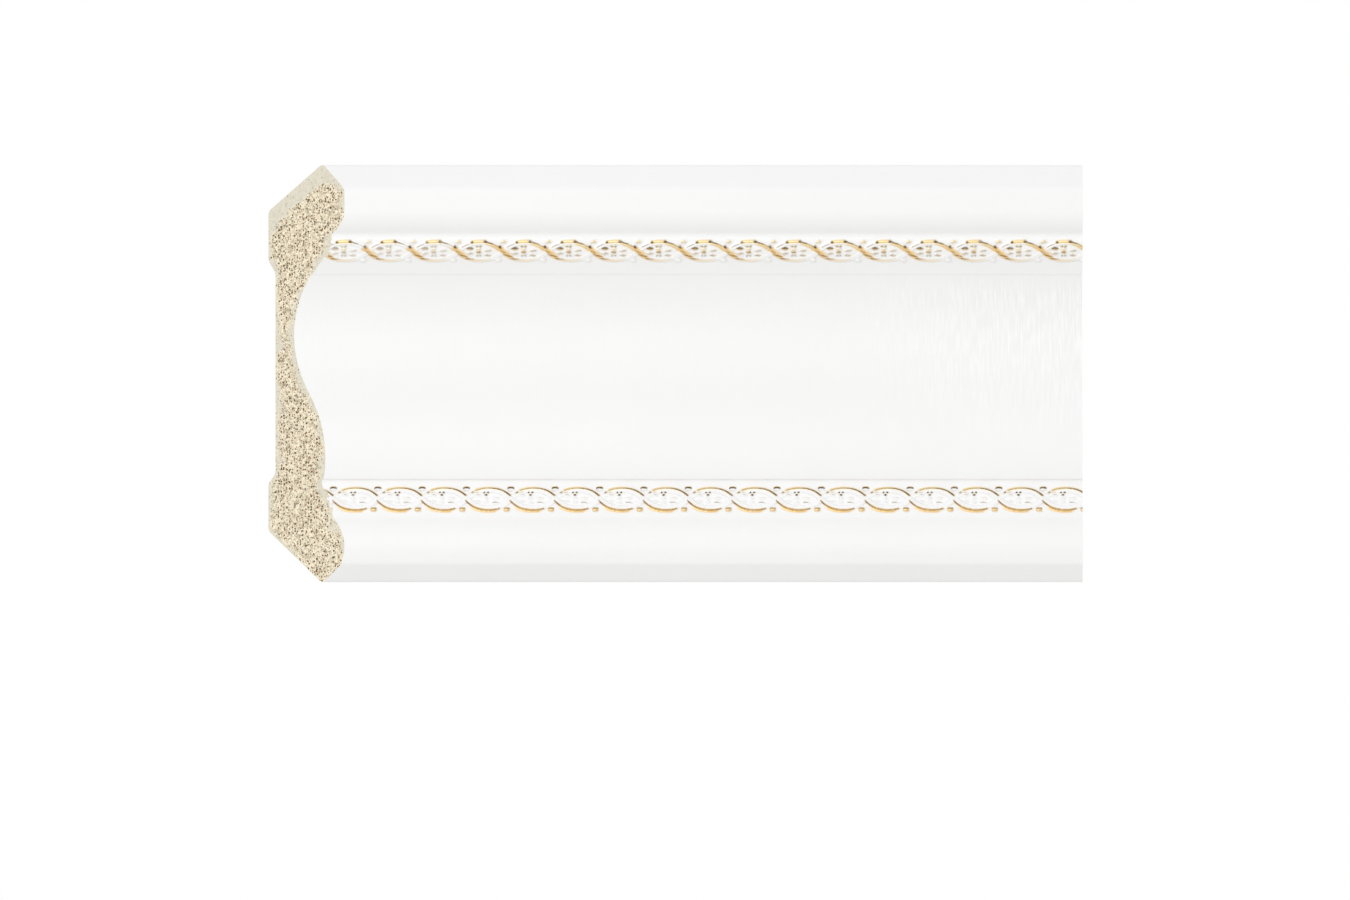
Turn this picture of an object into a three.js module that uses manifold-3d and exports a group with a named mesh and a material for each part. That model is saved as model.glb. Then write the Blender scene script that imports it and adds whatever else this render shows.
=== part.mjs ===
import * as THREE from 'three';
import { mergeVertices } from 'three/addons/utils/BufferGeometryUtils.js';
import Module from 'manifold-3d';

const wasm = await Module();
wasm.setup();

// A length of crown moulding, one extruded solid of rigid foam with two embossed guilloche bands.
// Millimetres: X runs along the length, Z up the face, and the face looks towards -Y.
// A section point is (depth, height): depth from the back lands towards the face, height from a base
// line just above the lower tip.

const point = (depth, height) => new THREE.Vector2(depth, height);

// Driving dimensions of the run
const LENGTH = 294;
const DEPTH = 25.1;
const END_BEVEL = THREE.MathUtils.degToRad(48);
const OVERRUN = 40;
const CURVE_STEPS = 5;

// The glue faces behind both tips are square to each other, and the run leans a little out of 45 degrees
const TIP_DEPTH = 17.9;
const LOW_TIP_HEIGHT = -0.9;
const HIGH_TIP_HEIGHT = 150.5;
const GLUE_LEAN = THREE.MathUtils.degToRad(1.5);
const LOW_GLUE_RISE = TIP_DEPTH * Math.tan(Math.PI / 4 + GLUE_LEAN);
const HIGH_GLUE_RISE = TIP_DEPTH * Math.tan(Math.PI / 4 - GLUE_LEAN);
const TIP_EASE = 1.5;
const LOW_TIP = point(TIP_DEPTH, LOW_TIP_HEIGHT);
const HIGH_TIP = point(TIP_DEPTH, HIGH_TIP_HEIGHT);

// Back: two lands with a shallow recess between them
const LAND_EASE = 1.4;
const RECESS_DEPTH = 2.35;
const RECESS_EASE = 1.0;
const UPPER_LAND_FOOT = 115.6;
const RECESS_HEAD = 111.2;
const RECESS_FOOT = 38.5;
const LOWER_LAND_HEAD = 35.2;

// Face, from the bottom: lower roll, band, swell, cove, band, upper roll
const ROLL_FRONT = 25.1;
const ROLL_RADIUS = 16;
const ROLL_CENTRE_HEIGHT = 12.5;
const ROLL_LEAN = THREE.MathUtils.degToRad(12);
const ROLL_CREASE = 6.2;
const ROLL_NECK = 22.6;
const SWELL_FRONT = 18.8;
const SWELL_LIP = 36.7;
const COVE_RADIUS = 48;
const COVE_HEAD_RADIUS = 43;
const COVE_FRONT = 8.5;
const COVE_CENTRE_HEIGHT = 89;
const COVE_FOOT = 68;
const COVE_HEAD = 110.4;
const QUIRK = 0.4;
const NOSE_RADIUS = 10;
const NOSE_HEAD = 133.5;
const NOSE_LEAN = THREE.MathUtils.degToRad(45);
const SHOULDER_HEIGHT = 141.4;
const SHOULDER_EASE = 1.6;
const LOWER_LISTEL = 1.7;

// The sloping grounds that carry the guilloche, with the height of its centre line; each crossing is
// where one strand passes over the other
const LOWER_BAND = {
  foot: point(21.1, 24.1),
  head: point(17.7, 34.7),
  centre: 29.45,
  pitch: 16.0,
  crossing: -123.2,
  beadRow: 3.95,
  lowBeadShift: -1.4,
};
const UPPER_BAND = {
  foot: point(16.9, 114.4),
  head: point(20.9, 123.4),
  centre: 119.2,
  pitch: 16.23,
  crossing: -110.5,
  beadRow: 3.65,
  lowBeadShift: -2.0,
};

// Guilloche relief
const STRAND_SWING = 3.4;
const STRAND_FOOT = 2.1;
const STRAND_CREST = 1.0;
const STRAND_HEIGHT = 0.85;
const STRAND_LIFT = 0.3;
const STRAND_STEPS = 12;
const SLOPE_STEP = 0.01;
const STRAND_LAP = 1.02;
const STRAND_ROOT = 0.7;
const STUD_ROOT = 0.2;
const BEAD = { sides: 6, halfLength: 1.15, halfWidth: 0.95, height: 0.85 };
const BOSS = { sides: 6, halfLength: 0.95, halfWidth: 1.95, height: 0.75 };
const FLOWER_SHIFT = -0.9;
const LEAF = { sides: 4, halfLength: 1.8, halfWidth: 0.6, height: 0.5 };
const LEAF_PLACE = point(3.5, 0.85);
const LEAF_TURN = THREE.MathUtils.degToRad(7);

// Line to a corner and round it off towards the next corner
function easeCorner(path, corner, next, setback) {
  const start = path.currentPoint.clone().sub(corner).setLength(setback).add(corner);
  const end = next.clone().sub(corner).setLength(setback).add(corner);
  path.lineTo(start.x, start.y);
  path.quadraticCurveTo(corner.x, corner.y, end.x, end.y);
}

// The lower roll's face leans in below its arc and ends in a crease over the underside
function rollCrease() {
  const arcFoot = ROLL_CENTRE_HEIGHT - ROLL_RADIUS * Math.sin(ROLL_LEAN);
  const arcFootDepth = ROLL_FRONT - ROLL_RADIUS * (1 - Math.cos(ROLL_LEAN));
  return point(arcFootDepth - (arcFoot - ROLL_CREASE) * Math.tan(ROLL_LEAN), ROLL_CREASE);
}

function drawLowerRoll(path) {
  const crease = rollCrease();
  const start = crease.clone().sub(LOW_TIP).setLength(TIP_EASE).add(LOW_TIP);
  const neckTurn = Math.asin((ROLL_NECK - ROLL_CENTRE_HEIGHT) / ROLL_RADIUS);
  path.moveTo(start.x, start.y);
  path.lineTo(crease.x, crease.y);
  path.absarc(ROLL_FRONT - ROLL_RADIUS, ROLL_CENTRE_HEIGHT, ROLL_RADIUS, -ROLL_LEAN, neckTurn, false);
}

function drawBandGround(path, band) {
  path.lineTo(band.foot.x, band.foot.y);
  path.lineTo(band.head.x, band.head.y);
}

// The swell turns under a little to its lip and meets the cove in one tangent at the cove's foot; the cove
// tightens above its deepest line
function drawCyma(path) {
  const turn = Math.asin((COVE_CENTRE_HEIGHT - COVE_FOOT) / COVE_RADIUS);
  const headTurn = Math.asin((COVE_HEAD - COVE_CENTRE_HEIGHT) / COVE_HEAD_RADIUS);
  const coveCentre = COVE_FRONT + COVE_RADIUS;
  const coveFootDepth = coveCentre - COVE_RADIUS * Math.cos(turn);
  const swellRadius = (SWELL_FRONT - coveFootDepth) / (1 - Math.cos(turn));
  const swellHeight = COVE_FOOT - swellRadius * Math.sin(turn);
  const lipTurn = Math.asin((swellHeight - SWELL_LIP) / swellRadius);
  path.lineTo(LOWER_BAND.head.x, LOWER_BAND.head.y + LOWER_LISTEL);
  path.absarc(SWELL_FRONT - swellRadius, swellHeight, swellRadius, -lipTurn, turn, false);
  path.absarc(coveCentre, COVE_CENTRE_HEIGHT, COVE_RADIUS, Math.PI + turn, Math.PI, true);
  const headCentre = COVE_FRONT + COVE_HEAD_RADIUS;
  path.absarc(headCentre, COVE_CENTRE_HEIGHT, COVE_HEAD_RADIUS, Math.PI, Math.PI - headTurn, true);
  path.lineTo(path.currentPoint.x + QUIRK, COVE_HEAD + QUIRK / 2);
}

// The nose leans in below its arc, down to a plain listel over the upper band
function drawUpperRoll(path) {
  const noseCentre = DEPTH - NOSE_RADIUS;
  const arcFoot = NOSE_HEAD - NOSE_RADIUS * Math.sin(NOSE_LEAN);
  const arcFootDepth = noseCentre + NOSE_RADIUS * Math.cos(NOSE_LEAN);
  const listel = UPPER_BAND.head.x;
  const shoulder = point(DEPTH, SHOULDER_HEIGHT);
  path.lineTo(listel, arcFoot - (arcFootDepth - listel) / Math.tan(NOSE_LEAN));
  path.absarc(noseCentre, NOSE_HEAD, NOSE_RADIUS, -NOSE_LEAN, 0, false);
  easeCorner(path, shoulder, HIGH_TIP, SHOULDER_EASE);
}

function drawBack(path) {
  const landHead = point(0, HIGH_TIP_HEIGHT - HIGH_GLUE_RISE);
  const upperLandFoot = point(0, UPPER_LAND_FOOT);
  const recessHead = point(RECESS_DEPTH, RECESS_HEAD);
  const recessFoot = point(RECESS_DEPTH, RECESS_FOOT);
  const lowerLandHead = point(0, LOWER_LAND_HEAD);
  const landFoot = point(0, LOW_TIP_HEIGHT + LOW_GLUE_RISE);
  easeCorner(path, HIGH_TIP, landHead, TIP_EASE);
  easeCorner(path, landHead, upperLandFoot, LAND_EASE);
  easeCorner(path, upperLandFoot, recessHead, LAND_EASE);
  easeCorner(path, recessHead, recessFoot, RECESS_EASE);
  easeCorner(path, recessFoot, lowerLandHead, RECESS_EASE);
  easeCorner(path, lowerLandHead, landFoot, LAND_EASE);
  easeCorner(path, landFoot, LOW_TIP, LAND_EASE);
  easeCorner(path, LOW_TIP, rollCrease(), TIP_EASE);
}

function crownSection() {
  const section = new THREE.Shape();
  drawLowerRoll(section);
  drawBandGround(section, LOWER_BAND);
  drawCyma(section);
  drawBandGround(section, UPPER_BAND);
  drawUpperRoll(section);
  drawBack(section);
  return section;
}

// The section swept along X, longer than the finished run at both ends
function plainRun() {
  const depth = LENGTH + 2 * OVERRUN;
  const settings = { depth, curveSegments: CURVE_STEPS, bevelEnabled: false };
  const run = new THREE.ExtrudeGeometry(crownSection(), settings);
  const towardsFace = new THREE.Vector3(0, -1, 0);
  const up = new THREE.Vector3(0, 0, 1);
  const leftwards = new THREE.Vector3(-1, 0, 0);
  const basis = new THREE.Matrix4().makeBasis(towardsFace, up, leftwards);
  return run.applyMatrix4(basis).translate(depth / 2, 0, 0);
}

// Sideways place of a strand: 0 at a crossing, 1 at the crest, fuller than a plain sine
function swing(phase) {
  const sine = Math.sin(phase);
  return sine * Math.SQRT2 / Math.sqrt(1 + sine * sine);
}

// One scroll of the guilloche: out from under its left neighbour, over the crest, down across the
// crossing at the origin and in under its right neighbour
function strandScroll(pitch) {
  const scroll = new THREE.BoxGeometry(2 * pitch * STRAND_LAP, 2, 2, STRAND_STEPS, 1, 1);
  const places = scroll.attributes.position;
  const centreLine = (along) => -STRAND_SWING * swing(Math.PI * along / pitch);
  for (let i = 0; i < places.count; i += 1) {
    const along = places.getX(i);
    const isCrest = places.getZ(i) > 0;
    const halfWidth = (isCrest ? STRAND_CREST : STRAND_FOOT) / 2;
    const aside = places.getY(i) * halfWidth;
    const climb = centreLine(along + SLOPE_STEP) - centreLine(along - SLOPE_STEP);
    const lean = Math.atan2(climb, 2 * SLOPE_STEP);
    const crestHeight = STRAND_HEIGHT + STRAND_LIFT * Math.cos(Math.PI * along / pitch);
    const x = along - aside * Math.sin(lean);
    const y = centreLine(along) + aside * Math.cos(lean);
    places.setXYZ(i, x, y, isCrest ? crestHeight : -STRAND_ROOT);
  }
  return scroll;
}

// A low pointed stud on the ground, for the beads, bosses and leaves
function stud({ sides, halfLength, halfWidth, height }) {
  const cone = new THREE.ConeGeometry(1, 1, sides).rotateX(Math.PI / 2).translate(0, 0, 0.5);
  return cone.scale(halfLength, halfWidth, height + STUD_ROOT).translate(0, 0, -STUD_ROOT);
}

// The flower in each eye: an upright boss between two pairs of pointed leaves
function eyeFlower(pitch) {
  const petals = [stud(BOSS)];
  for (const side of [-1, 1]) {
    for (const row of [-1, 1]) {
      const leaf = stud(LEAF).rotateZ(-side * row * LEAF_TURN);
      petals.push(leaf.translate(side * LEAF_PLACE.x, row * LEAF_PLACE.y, 0));
    }
  }
  return petals.map((petal) => petal.translate(pitch / 2 + FLOWER_SHIFT, 0, 0));
}

// Places a band's relief on its ground: local X along the run, Y up the slope, Z out of the face
function bandPlacement(band) {
  const slope = band.head.clone().sub(band.foot).normalize();
  const share = (band.centre - band.foot.y) / (band.head.y - band.foot.y);
  const middle = band.foot.clone().lerp(band.head, share);
  const along = new THREE.Vector3(1, 0, 0);
  const up = new THREE.Vector3(0, -slope.x, slope.y);
  const out = along.clone().cross(up);
  return new THREE.Matrix4().makeBasis(along, up, out).setPosition(0, -middle.x, middle.y);
}

function bandRelief(band) {
  const unit = [
    strandScroll(band.pitch),
    stud(BEAD).translate(0, band.beadRow, 0),
    stud(BEAD).translate(band.lowBeadShift, -band.beadRow, 0),
    ...eyeFlower(band.pitch),
  ];
  const placement = bandPlacement(band);
  const first = Math.floor((-LENGTH / 2 - band.crossing) / band.pitch);
  const last = Math.ceil((LENGTH / 2 - band.crossing) / band.pitch);
  const relief = [];
  for (let n = first; n <= last; n += 1) {
    const along = band.crossing + n * band.pitch;
    relief.push(...unit.map((form) => form.clone().translate(along, 0, 0).applyMatrix4(placement)));
  }
  return relief;
}

// Blocks that trim the run: square on the right, on a bevel that opens towards the face on the left
function endCutters() {
  const size = 2 * HIGH_TIP_HEIGHT;
  const square = new THREE.BoxGeometry(size, size, 2 * size).translate(LENGTH / 2 + size / 2, 0, 0);
  const bevel = new THREE.BoxGeometry(size, size, 2 * size).translate(-size / 2, 0, 0);
  bevel.rotateZ(END_BEVEL).translate(-LENGTH / 2, 0, 0);
  return [square, bevel];
}

function toSolid(geometry) {
  geometry.deleteAttribute('normal');
  geometry.deleteAttribute('uv');
  const merged = mergeVertices(geometry);
  const vertProperties = new Float32Array(merged.attributes.position.array);
  const triVerts = new Uint32Array(merged.index.array);
  return new wasm.Manifold(new wasm.Mesh({ numProp: 3, vertProperties, triVerts }));
}

function toGeometry(solid) {
  const { vertProperties, triVerts } = solid.getMesh();
  const geometry = new THREE.BufferGeometry();
  geometry.setAttribute('position', new THREE.BufferAttribute(vertProperties, 3));
  geometry.setIndex(new THREE.BufferAttribute(triVerts, 1));
  geometry.computeVertexNormals();
  return geometry;
}

function crownMoulding() {
  let solid = toSolid(plainRun());
  for (const form of [...bandRelief(LOWER_BAND), ...bandRelief(UPPER_BAND)]) {
    solid = solid.add(toSolid(form));
  }
  for (const cutter of endCutters()) {
    solid = solid.subtract(toSolid(cutter));
  }
  const coat = new THREE.MeshStandardMaterial({ color: 0xf3f2f0, roughness: 0.42, metalness: 0 });
  const mesh = new THREE.Mesh(toGeometry(solid), coat);
  mesh.name = 'crown_moulding';
  return mesh;
}

// The origin is the middle of the lower glue face, where the moulding is fixed to the wall
const moulding = crownMoulding();
moulding.position.set(0, TIP_DEPTH / 2, -LOW_TIP_HEIGHT - LOW_GLUE_RISE / 2);

const part = new THREE.Group();
part.add(moulding);

export default part;
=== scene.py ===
import math

import bmesh
import bpy
import numpy as np
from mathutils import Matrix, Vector
from mathutils.geometry import delaunay_2d_cdt


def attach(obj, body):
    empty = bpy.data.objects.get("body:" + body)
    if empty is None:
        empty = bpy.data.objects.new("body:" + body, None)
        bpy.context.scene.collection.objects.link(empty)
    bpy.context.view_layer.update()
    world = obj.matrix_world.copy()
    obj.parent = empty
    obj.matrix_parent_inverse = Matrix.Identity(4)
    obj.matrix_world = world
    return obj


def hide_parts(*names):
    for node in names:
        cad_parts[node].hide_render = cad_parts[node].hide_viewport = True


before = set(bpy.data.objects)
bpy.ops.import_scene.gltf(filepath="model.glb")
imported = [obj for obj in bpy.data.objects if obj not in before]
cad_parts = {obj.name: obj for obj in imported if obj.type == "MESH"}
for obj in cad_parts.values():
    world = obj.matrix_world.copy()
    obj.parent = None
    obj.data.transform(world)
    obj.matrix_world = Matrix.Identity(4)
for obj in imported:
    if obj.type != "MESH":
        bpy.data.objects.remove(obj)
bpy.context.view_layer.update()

# A length of foam crown moulding: a swept section, two bands of embossed guilloche that repeat along
# it, a bevelled end and a square end. Sizes are in millimetres and are turned into metres once, by
# place(). A section point is (depth, height): depth from the back lands towards the face, height from
# a base line just above the lower tip.
MM = 0.001
LENGTH = 294
DEPTH = 25.1
END_BEVEL = math.radians(48)

# Tips and back; the glue faces behind the tips are square to each other
TIP_DEPTH = 17.9
LOW_TIP_HEIGHT = -0.9
HIGH_TIP_HEIGHT = 150.5
GLUE_LEAN = math.radians(1.5)
LOW_GLUE_RISE = TIP_DEPTH * math.tan(math.pi / 4 + GLUE_LEAN)
HIGH_GLUE_RISE = TIP_DEPTH * math.tan(math.pi / 4 - GLUE_LEAN)
LOW_TIP = (TIP_DEPTH, LOW_TIP_HEIGHT)
HIGH_TIP = (TIP_DEPTH, HIGH_TIP_HEIGHT)
ORIGIN_HEIGHT = LOW_TIP_HEIGHT + LOW_GLUE_RISE / 2
LAND_EASE = 1.4
TIP_EASE = 1.5
RECESS_DEPTH = 2.35
UPPER_LAND_FOOT = 115.6
RECESS_HEAD = 111.2
RECESS_FOOT = 38.5
LOWER_LAND_HEAD = 35.2

# Face, from the bottom: lower roll, band, swell, cove, band, upper roll
ROLL_FRONT = 25.1
ROLL_RADIUS = 16
ROLL_CENTRE_HEIGHT = 12.5
ROLL_LEAN = math.radians(12)
ROLL_CREASE = 6.2
ROLL_NECK = 22.6
SWELL_FRONT = 18.8
SWELL_LIP = 36.7
COVE_RADIUS = 48
COVE_HEAD_RADIUS = 43
COVE_FRONT = 8.5
COVE_CENTRE_HEIGHT = 89
COVE_FOOT = 68
COVE_HEAD = 110.4
QUIRK = 0.4
NOSE_RADIUS = 10
NOSE_HEAD = 133.5
NOSE_LEAN = math.radians(45)
SHOULDER_HEIGHT = 141.4
SHOULDER_EASE = 1.6
LOWER_LISTEL = 1.7
FACE_EASE = 0.8
ARC_STEP = 1.2
EASE_STEPS = 6
EASE_ROOM = 0.48
SHARP_TURN = math.radians(14)

# The sloping grounds of the bands, with the height of the guilloche's centre line; a crossing is where
# one strand passes over the other. Low beads are gold and carry painted shade by the shares given. The
# ground is painted paler than the coat from a share of its width upwards, as painted light, and late is
# the share of the foil on beads, flowers and leaves that is missing towards the left end.
LOWER_BAND = {
    "foot": (21.1, 24.1), "head": (17.7, 34.7), "centre": 29.45, "pitch": 16.0, "crossing": -123.2,
    "bead_row": 3.95, "low_bead": -1.5, "low_gold": 0.95, "low_shade": 1.0, "rows": 42, "bulge": 0.0,
    "painted_light": 0.55, "painted_light_above": 0.1, "late": 0.0,
}
UPPER_BAND = {
    "foot": (16.9, 114.4), "head": (20.9, 123.4), "centre": 119.2, "pitch": 16.23, "crossing": -110.5,
    "bead_row": 3.65, "low_bead": -2.0, "low_gold": 0.06, "low_shade": 0.0, "rows": 40, "bulge": 0.4,
    "painted_light": 1.0, "painted_light_above": 0.55, "late": 0.3,
}
TILE_COLUMNS = 56
PAINTED_LIGHT_SOFT = 0.3
# How the bands look, point by point: foil, brown painted shade and dark reflection on it, its orange
# tone, foil that is missing towards the left end, and whiter ground that is painted light
LOOKS = ("gold", "painted_shade", "warm", "late", "painted_light")

# Guilloche relief
STRAND_SWING = 3.4
STRAND_HALF = 1.0
STRAND_HEIGHT = 0.85
STRAND_LIFT = 0.3
STRAND_FULLNESS = 2.4
REED_GROOVE = 0.3
REED_GROOVE_HALF = 0.22
TRACE_STEPS = 480
FLANK_HEIGHT = 0.05
BEAD_HALF = (1.35, 1.0)
LOW_BEAD_HALF = (1.2, 0.9)
LOW_BEAD_FULLNESS = 3.5
BEAD_HEIGHT = 0.85

# Foil on the strands. The place along a strand runs from -1 over its crest at -0.5 and its crossing at 0
# to 1; the offset from its centre line is in millimetres. A RUN is a stretch of places and an ACROSS a
# stretch of offsets, both (from, to, softness). A pair of rows is a value that changes along the strand:
# (places, values). The arch is the upper half of a lower strand and the sag its lower half.
FOIL_REACH = 1.9
UPPER_INNER = ((-0.42, -0.34, -0.14, 0.05, 0.2, 0.35), (-0.2, -1.05, -1.4, -1.4, -1.1, -0.8))
UPPER_OUTER = ((-0.42, -0.34, -0.16, -0.06, 0.1, 0.25), (1.0, 0.5, 0.5, 1.0, 0.9, 0.3))
UPPER_SOFT = 0.35
UPPER_STRENGTH = ((-0.42, -0.3, -0.12, -0.05, 0.2, 0.3, 0.7), (1, 0.95, 0.95, 1, 1, 0.65, 0.3))
UPPER_RUN = (-0.72, 0.72, 0.05)
UPPER_WARM = ((-0.35, -0.05, 0.2, 0.4), (0.1, 0.7, 0.7, 0.25))
UPPER_LATE_RUN = (-0.37, -0.13, 0.04)
# The upper strands carry a line of painted shade along their outer edge
UPPER_EDGE_RUN = (-0.41, -0.1, 0.04)
UPPER_EDGE_SHADE = ((-0.27, -0.2), (0.95, 0.5))
UPPER_EDGE_IN = 0.45
UPPER_EDGE_OUT = 0.1
UPPER_EDGE_SOFT = 0.2
# On the lower strands the foil keeps off the crest, which stays white as a painted highlight
ARCH_RUN = (-0.79, -0.03, 0.03)
ARCH_ACROSS = (0.2, 1.35, 0.35)
# Painted shade on the lower strands, in brown over the foil of the arch, the sag and the thick gold
ARCH_SHADE_STRENGTH = ((-0.8, -0.6, -0.3, -0.1), (0.4, 0.45, 0.8, 0.95))
ARCH_SHADE_FROM = 0.3
ARCH_SHADE_TO = ((-0.5, -0.25), (0.9, 1.15))
ARCH_SHADE_SOFT = 0.2
ARCH_SHADE_DOT = (-0.845, 0.5)
ARCH_SHADE_DOT_REACH = (0.034, 0.5)
SAG_RUN = (0.0, 0.74, 0.03)
SAG_ACROSS = (-1.05, -0.4, 0.25)
SAG_SHADE_ACROSS = (-0.95, -0.48, 0.2)
SAG_SHADE_STRENGTH = ((0.0, 0.08, 0.2, 0.45, 0.7), (1, 1, 0.55, 0.4, 0.6))
THICK_RUN = (0.14, 0.66, 0.08)
THICK_ACROSS = (-1.7, -0.85, 0.3)
THICK_SHADE = 0.1
LOWER_WARM = ((-0.2, 0.1), (0.1, 0.7))
# Spots of painted shade and dark reflection on the foil: place along the strand, offset, reach
SHADE_SPOT_HALF = 0.38
SHADE_SPOT_GAIN = 1.7
UPPER_SHADE_SPOTS = ((-0.7, 0.45, 0.03), (-0.41, 0.45, 0.033), (-0.1, 0.55, 0.028))
# Strokes of painted shade across the foil: place from and to, offset from and to, strength
STROKE_HALF = 0.2
STROKE_SOFT = 0.16
STROKE_END_SOFT = 0.04
UPPER_SHADE_STROKES = (
    (-0.92, -0.76, 0.4, 0.05, 0.75), (-0.05, 0.035, -0.55, 0.15, 0.5),
    (0.0, 0.19, -1.0, 0.65, 0.85), (0.165, 0.345, -0.5, 0.4, 0.75),
)
LOWER_SHADE_STROKES = ((-0.84, -0.71, 0.1, -0.45, 0.6),)

# Foil on the beads and leaves, and the painted shade on it: a limit and its softness, as a share of the way
# out or in millimetres up
UPPER_CAP_OUT = (0.72, 0.3)
UPPER_CAP_UP = (-0.35, 0.4)
UPPER_CAP_GOLD = 0.85
UPPER_CAP_SHADE = 0.25
LOWER_CAP_OUT = (1.05, 0.2)
LOWER_CAP_UP = (-0.15, 0.25)
# Painted highlight on the tops of the lower-band beads: from where, and how much of the painted shade it
# lifts
LOWER_CAP_LIT_UP = (0.45, 0.3)
LOWER_CAP_LIT = 0.75
LOW_BEAD_OUT = (0.95, 0.2)
LOW_BEAD_SHADE = (0.2, 0.6, 0.2)
LOW_BEAD_SHADE_RANGE = (0.15, 0.75)
LOW_BEAD_WARM = 0.6
FLOWER_OUT = (0.9, 0.25)
LEAF_OUT = (0.95, 0.25)
LEAF_EDGE_UP = (0.05, 0.25)
LEAF_BODY_SHADE = 0.3
# Eye flower and its leaves: (along, up, half length, half width, turn in degrees, height), then how
# gold, how much painted shade and how warm each is
FLOWER_SHIFT = -0.9
UPPER_FLOWER = (
    (-0.6, 1.85, 0.7, 0.4, 0, 0.65, 0.9, 0.65, 0),
    (0.6, 1.85, 0.7, 0.4, 0, 0.65, 0.9, 0.65, 0),
    (0.0, 0.9, 1.0, 0.5, 0, 0.75, 0.7, 0, 0.1),
    (0.0, -0.25, 1.1, 0.55, 0, 0.8, 1, 0.5, 0.5),
    (0.0, -1.1, 0.85, 0.36, 0, 0.7, 0.3, 0.1, 0.5),
    (-0.6, -1.8, 0.5, 0.36, 0, 0.5, 0.6, 0.7, 0.3),
    (0.6, -1.8, 0.5, 0.36, 0, 0.5, 0.6, 0.7, 0.3),
)
UPPER_LEAVES = (
    (-3.15, 1.0, 1.5, 0.75, -4, 0.6, 0.95, 1, 0.4),
    (-3.3, -1.0, 1.6, 0.5, 4, 0.5, 0.6, 0.8, 0.2),
    (3.4, 0.1, 1.45, 0.5, 3, 0.55, 0.6, 0.9, 0),
    (3.4, -1.75, 1.45, 0.5, -8, 0.5, 0.65, 0.9, 0.2),
)
LOWER_FLOWER = (
    (-0.72, 2.7, 0.68, 0.54, 0, 0.7, 1, 1, 0),
    (0.72, 2.7, 0.68, 0.54, 0, 0.7, 1, 1, 0),
    (0.0, 1.55, 0.68, 0.36, 0, 0.75, 1, 1, 0),
    (0.0, 0.3, 0.72, 0.42, 0, 0.8, 0, 0, 0),
    (0.0, -1.2, 0.85, 0.5, 0, 0.75, 0, 0, 0),
    (-0.6, -2.6, 0.42, 0.3, 0, 0.5, 0, 0, 0),
    (0.6, -2.6, 0.42, 0.3, 0, 0.5, 0, 0, 0),
)
LOWER_LEAVES = (
    (-3.3, 1.4, 1.5, 0.5, -3, 0.55, 0.5, 0.9, 0),
    (-3.3, -1.0, 1.45, 0.45, 4, 0.5, 0.2, 0.6, 0),
    (3.5, 0.3, 1.45, 0.52, 3, 0.55, 0.2, 0.6, 0),
    (3.5, -1.5, 1.45, 0.5, -8, 0.5, 0.75, 0.9, 0),
)

# Sawn foam ends: a scatter of points a grain apart, of which a share are pits; few lie in the rim
FOAM_GRAIN = 0.85
FOAM_JITTER = 0.3
FOAM_CLEAR = 0.6
PORE_SHARE = 0.24
PORE_SIZE = (0.25, 1)
PORE_DEPTH = (0.12, 0.5)
RIM = 1.7
RIM_SOFT = 0.8
RIM_PORES = 0.06
FOAM_SEED = 20

# How near two points count as one, and how far an edge turns before it stays sharp
WELD = 0.01
TRIM_SNAP = 0.001
BORDER_SNAP = 0.002
CREASE_ANGLE = math.radians(28)


def place(along, depth, height):
    return Vector((along, TIP_DEPTH / 2 - depth, height - ORIGIN_HEIGHT)) * MM


def left_end(depth):
    return -LENGTH / 2 + depth * math.tan(END_BEVEL)


# Section

def arc(centre, radius, start, end):
    """Points of an arc, both ends included, about ARC_STEP apart."""
    steps = max(4, round(radius * abs(end - start) / ARC_STEP))
    turn = np.linspace(start, end, steps + 1)
    return np.stack([centre[0] + radius * np.cos(turn), centre[1] + radius * np.sin(turn)], axis=1)


def bend(start, corner, end):
    """Points of a rounded corner from start to end."""
    t = np.linspace(0, 1, EASE_STEPS + 1)[:, None]
    return (1 - t) ** 2 * np.array(start) + 2 * t * (1 - t) * np.array(corner) + t ** 2 * np.array(end)


def soften(path, setback):
    """Rounds every sharp corner of a path, over setback to both sides where there is room for it."""
    path = np.array(path)
    steps = np.diff(path, axis=0)
    reach = np.concatenate([[0], np.cumsum(np.hypot(*steps.T))])
    headings = np.unwrap(np.arctan2(steps[:, 1], steps[:, 0]))
    corners = np.flatnonzero(np.abs(np.diff(headings)) > SHARP_TURN) + 1
    stops = np.concatenate([[0], reach[corners], [reach[-1]]])
    rounded = []
    kept = np.ones(len(path), bool)
    for index, corner in enumerate(corners):
        middle = reach[corner]
        room = min(middle - stops[index], stops[index + 2] - middle) * EASE_ROOM
        half = min(setback, room)
        kept &= np.abs(reach - middle) >= half
        start, end = (
            [np.interp(spot, reach, path[:, k]) for k in (0, 1)] for spot in (middle - half, middle + half)
        )
        places = np.linspace(middle - half, middle + half, EASE_STEPS + 1)
        rounded += zip(places, bend(start, path[corner], end))
    rounded += [(reach[i], path[i]) for i in np.flatnonzero(kept)]
    return np.array([spot for _, spot in sorted(rounded, key=lambda item: item[0])])


def beside(corner, towards):
    """Point a little way from a tip, where the back ends and the face begins."""
    corner, towards = np.array(corner), np.array(towards)
    return corner + (towards - corner) * 2 * TIP_EASE / np.hypot(*(towards - corner))


def lower_roll():
    """From the lower tip under the crease and up the roll, which leans in below its arc."""
    neck_turn = math.asin((ROLL_NECK - ROLL_CENTRE_HEIGHT) / ROLL_RADIUS)
    roll = arc((ROLL_FRONT - ROLL_RADIUS, ROLL_CENTRE_HEIGHT), ROLL_RADIUS, -ROLL_LEAN, neck_turn)
    crease = (roll[0][0] - (roll[0][1] - ROLL_CREASE) * math.tan(ROLL_LEAN), ROLL_CREASE)
    return soften([beside(LOW_TIP, crease), crease, *roll, LOWER_BAND["foot"]], FACE_EASE)


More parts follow.
